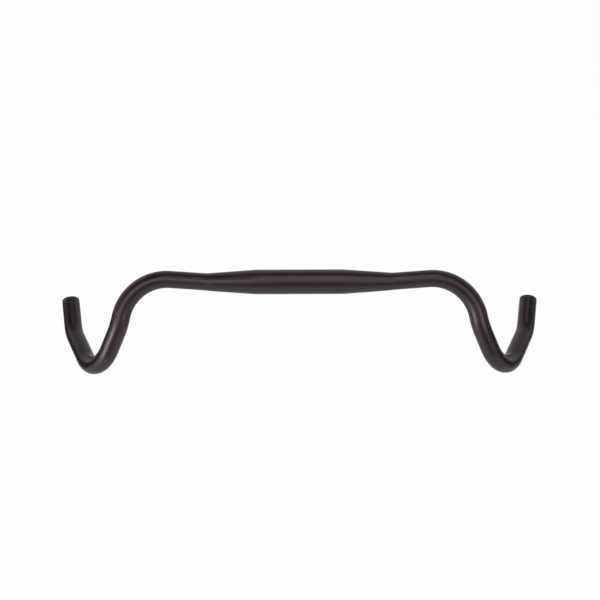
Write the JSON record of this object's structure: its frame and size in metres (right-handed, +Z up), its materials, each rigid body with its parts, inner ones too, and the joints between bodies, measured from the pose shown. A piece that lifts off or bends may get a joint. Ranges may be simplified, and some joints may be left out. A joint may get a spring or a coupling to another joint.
{
  "type": "drop handlebar",
  "caption": "Flared drop handlebar: bent hollow tube with a bulged stem clamp seat, swept tops and an expanding plug in each end.",
  "frame": {"origin": "middle of the seat for the stem clamp, on the tube's axis", "axes": "+X along the clamp seat to the rider's right, +Y towards the rider, +Z up; the drops reach towards -Y and end towards +Y, with the bar level as the ends near the horizontal set it"},
  "size_m": [0.667, 0.1248, 0.1437],
  "materials": {
    "tube": "bead-blasted, anodised black with a faint brown cast",
    "cap": "moulded nylon, fine satin",
    "sleeve": "moulded elastomer, matt",
    "nut": "turned, bright",
    "screw": "black oxide, fine satin"
  },
  "bodies": {
    "handlebar": {"handlebar_tube": "tube"},
    "left_plug": {"left_plug_cap": "cap", "left_plug_sleeve": "sleeve"},
    "left_nut": {"left_plug_cone_nut": "nut"},
    "left_screw": {"left_plug_screw": "screw"},
    "right_plug": {"right_plug_cap": "cap", "right_plug_sleeve": "sleeve"},
    "right_nut": {"right_plug_cone_nut": "nut"},
    "right_screw": {"right_plug_screw": "screw"}
  },
  "joints": [
    {"name": "left_plug_pull", "type": "slide", "parent": "handlebar", "child": "left_plug", "axis": [-0.1901, 0.9779, -0.0872], "range_m": [0, 0.04]},
    {"name": "left_screw_turn", "type": "hinge", "parent": "left_plug", "child": "left_screw", "pos_m": [-0.3214, 0.01588, -0.11583], "axis": [-0.1901, 0.9779, -0.0872], "range_deg": [0, 2160.5]},
    {"name": "left_nut_travel", "type": "slide", "parent": "left_plug", "child": "left_nut", "axis": [0.1901, -0.9779, 0.0872], "range_m": [0, 0.0042]},
    {"name": "right_plug_pull", "type": "slide", "parent": "handlebar", "child": "right_plug", "axis": [0.1901, 0.9779, -0.0872], "range_m": [0, 0.04]},
    {"name": "right_screw_turn", "type": "hinge", "parent": "right_plug", "child": "right_screw", "pos_m": [0.3214, 0.01588, -0.11583], "axis": [0.1901, 0.9779, -0.0872], "range_deg": [0, 2160.5]},
    {"name": "right_nut_travel", "type": "slide", "parent": "right_plug", "child": "right_nut", "axis": [-0.1901, -0.9779, 0.0872], "range_m": [0, 0.0042]}
  ],
  "couplings": [
    {"joint": "left_screw_turn", "follows": "left_nut_travel", "rad_per_m": 8976},
    {"joint": "right_screw_turn", "follows": "right_nut_travel", "rad_per_m": 8976}
  ]
}
